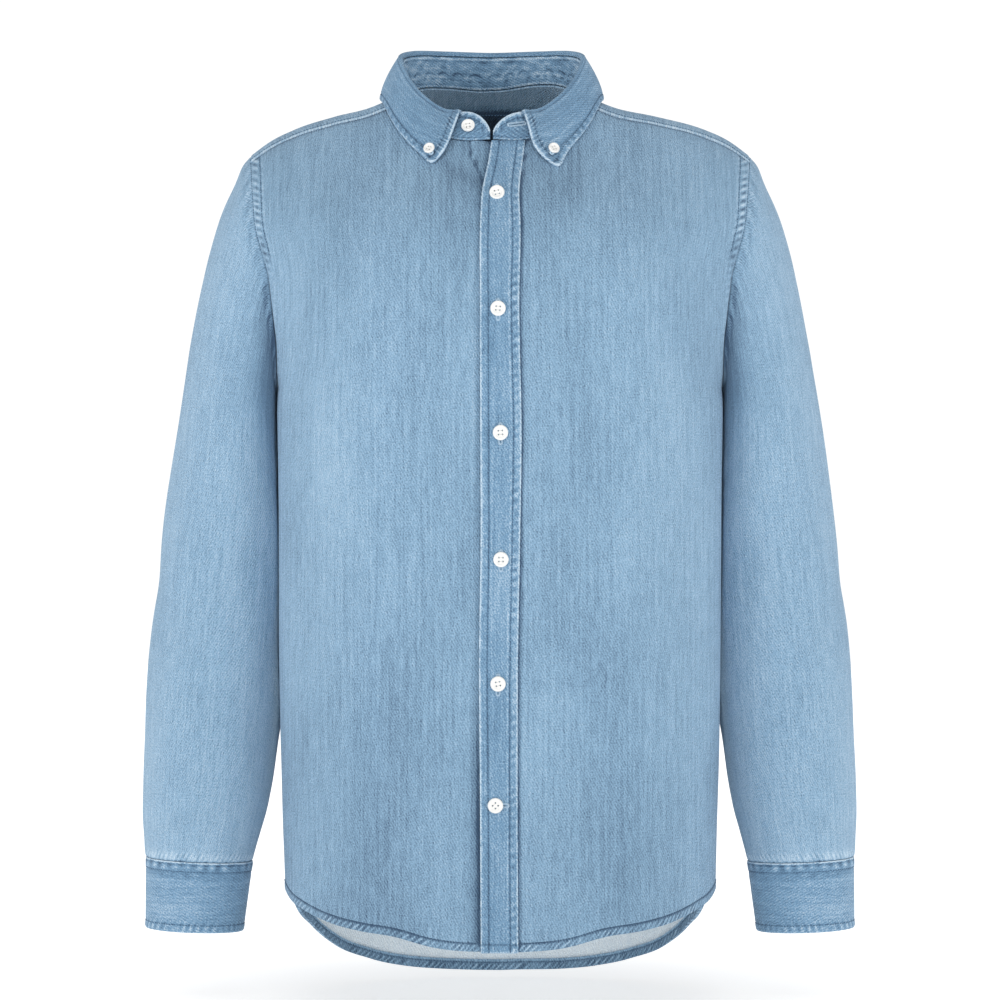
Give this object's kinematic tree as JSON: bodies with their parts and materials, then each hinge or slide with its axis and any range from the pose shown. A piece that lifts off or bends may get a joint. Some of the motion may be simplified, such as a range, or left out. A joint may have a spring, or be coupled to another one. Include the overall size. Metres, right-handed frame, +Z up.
{
  "type": "denim shirt",
  "caption": "Long-sleeved denim shirt with a button-down collar, full-length placket, back yoke, buttoned cuffs and a curved hem, filled out as worn.",
  "frame": {"origin": "between the shoulders, on the plane of the shoulder ridges and side seams, where the wearer's shoulders carry the shirt", "axes": "+Z up along the body, -Y out of the front, +X towards the wearer's left"},
  "size_m": [0.6078, 0.265, 0.8017],
  "materials": {
    "body_denim": "light-wash denim, single layer",
    "trim_denim": "light-wash denim, doubled and topstitched",
    "white_button": "satin white"
  },
  "bodies": {
    "root": {"front_right": "body_denim", "front_left": "body_denim", "back": "body_denim", "yoke": "body_denim", "sleeve_right": "body_denim", "sleeve_left": "body_denim", "placket": "trim_denim", "cuff_right": "trim_denim", "cuff_left": "trim_denim", "collar_stand": "trim_denim", "collar_leaf": "trim_denim", "placket_button_1": "white_button", "placket_button_2": "white_button", "placket_button_3": "white_button", "placket_button_4": "white_button", "placket_button_5": "white_button", "placket_button_6": "white_button", "band_button": "white_button", "point_button_right": "white_button", "point_button_left": "white_button", "cuff_button_right": "white_button", "cuff_button_left": "white_button"}
  },
  "joints": []
}
